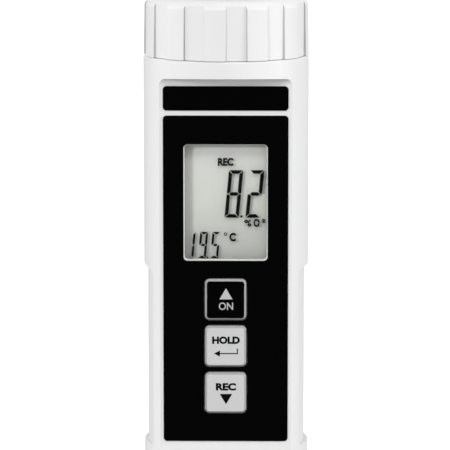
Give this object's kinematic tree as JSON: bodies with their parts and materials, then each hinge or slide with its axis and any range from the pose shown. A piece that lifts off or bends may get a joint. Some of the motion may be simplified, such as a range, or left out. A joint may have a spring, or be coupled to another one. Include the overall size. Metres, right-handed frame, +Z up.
{
  "type": "handheld dissolved oxygen meter",
  "caption": "Hand-held meter for dissolved oxygen: white tube with display and keys on a flat front, ribbed battery cap, and a probe under a screw-on cover.",
  "frame": {"origin": "centre of the flat base of the probe cover, on which the meter stands", "axes": "+Z up along the tube towards the battery cap, -Y out of the flat front with the display, +X to the right as seen from the front"},
  "size_m": [0.04, 0.04, 0.195],
  "materials": {
    "white_housing": "fine satin moulded ABS",
    "black_plate": "printed film under a clear coat",
    "clear_lens": "clear acrylic",
    "display_glass": "grey-green reflective display",
    "circuit_board": "solder mask",
    "key_rubber": "smooth silicone rubber",
    "black_rubber": "soft rubber",
    "black_plastic": "moulded plastic",
    "grey_plastic": "moulded plastic",
    "cell_can": "sleeved can",
    "contact_metal": "nickel-plated spring brass",
    "steel": "stainless",
    "silver": "silver",
    "gold": "gold",
    "membrane_film": "thin translucent film",
    "wire_sleeve": "wire insulation"
  },
  "bodies": {
    "housing": {"main_housing": "white_housing", "name_plate": "black_plate", "front_panel": "black_plate", "window_lens": "clear_lens", "display_frame": "black_plastic", "display_glass": "display_glass", "contact_strips": "black_rubber", "circuit_board": "circuit_board", "board_screws": "steel", "keypad_mat": "key_rubber", "processor_chip": "black_plastic", "amplifier_chip": "black_plastic", "cell_tube": "black_plastic", "cell_1": "cell_can", "cell_2": "cell_can", "cell_3": "cell_can", "cell_4": "cell_can", "contact_board": "circuit_board", "leaf_contacts": "contact_metal", "cap_seal": "black_rubber", "probe_holder": "grey_plastic", "cover_seal": "black_rubber", "probe_body": "black_plastic", "probe_screws": "steel", "anode_sleeve": "silver", "cathode_tip": "gold", "temperature_sensor": "steel", "battery_wires": "wire_sleeve", "probe_wires": "wire_sleeve"},
    "on_key": {"key_on": "key_rubber", "contact_pill_on": "black_rubber"},
    "hold_key": {"key_hold": "key_rubber", "contact_pill_hold": "black_rubber"},
    "rec_key": {"key_rec": "key_rubber", "contact_pill_rec": "black_rubber"},
    "contact_carrier": {"contact_disc": "black_plastic", "contact_bridge": "contact_metal"},
    "battery_cap": {"battery_cap": "white_housing", "cap_screw": "steel"},
    "cover_gasket": {"cover_gasket": "black_rubber"},
    "probe_cover": {"probe_cover": "white_housing"},
    "head_ring": {"head_ring": "black_rubber"},
    "membrane_head": {"membrane_head": "grey_plastic", "membrane": "membrane_film"}
  },
  "joints": [
    {"name": "on_press", "type": "slide", "parent": "housing", "child": "on_key", "axis": [0, 1, 0], "range_m": [0, 0.0006], "stiffness_N_per_m": 800, "springref_m": -0.0005},
    {"name": "hold_press", "type": "slide", "parent": "housing", "child": "hold_key", "axis": [0, 1, 0], "range_m": [0, 0.0006], "stiffness_N_per_m": 800, "springref_m": -0.0005},
    {"name": "rec_press", "type": "slide", "parent": "housing", "child": "rec_key", "axis": [0, 1, 0], "range_m": [0, 0.0006], "stiffness_N_per_m": 800, "springref_m": -0.0005},
    {"name": "cap_lift", "type": "slide", "parent": "housing", "child": "contact_carrier", "axis": [0, 0, 1], "range_m": [0, 0.01]},
    {"name": "cap_turn", "type": "hinge", "parent": "contact_carrier", "child": "battery_cap", "pos_m": [0, 0, 0.18065], "axis": [0, 0, 1], "range_deg": [0, 901]},
    {"name": "cover_drop", "type": "slide", "parent": "housing", "child": "cover_gasket", "axis": [0, 0, -1], "range_m": [0, 0.01]},
    {"name": "cover_turn", "type": "hinge", "parent": "cover_gasket", "child": "probe_cover", "pos_m": [0, 0, 0.064], "axis": [0, 0, -1], "range_deg": [0, 901]},
    {"name": "head_drop", "type": "slide", "parent": "housing", "child": "head_ring", "axis": [0, 0, -1], "range_m": [0, 0.006]},
    {"name": "head_turn", "type": "hinge", "parent": "head_ring", "child": "membrane_head", "pos_m": [0, 0, 0.034], "axis": [0, 0, -1], "range_deg": [0, 1441]}
  ],
  "couplings": [
    {"joint": "cap_turn", "follows": "cap_lift", "rad_per_m": 1570.8},
    {"joint": "cover_turn", "follows": "cover_drop", "rad_per_m": 1570.8},
    {"joint": "head_turn", "follows": "head_drop", "rad_per_m": 4188.8}
  ]
}
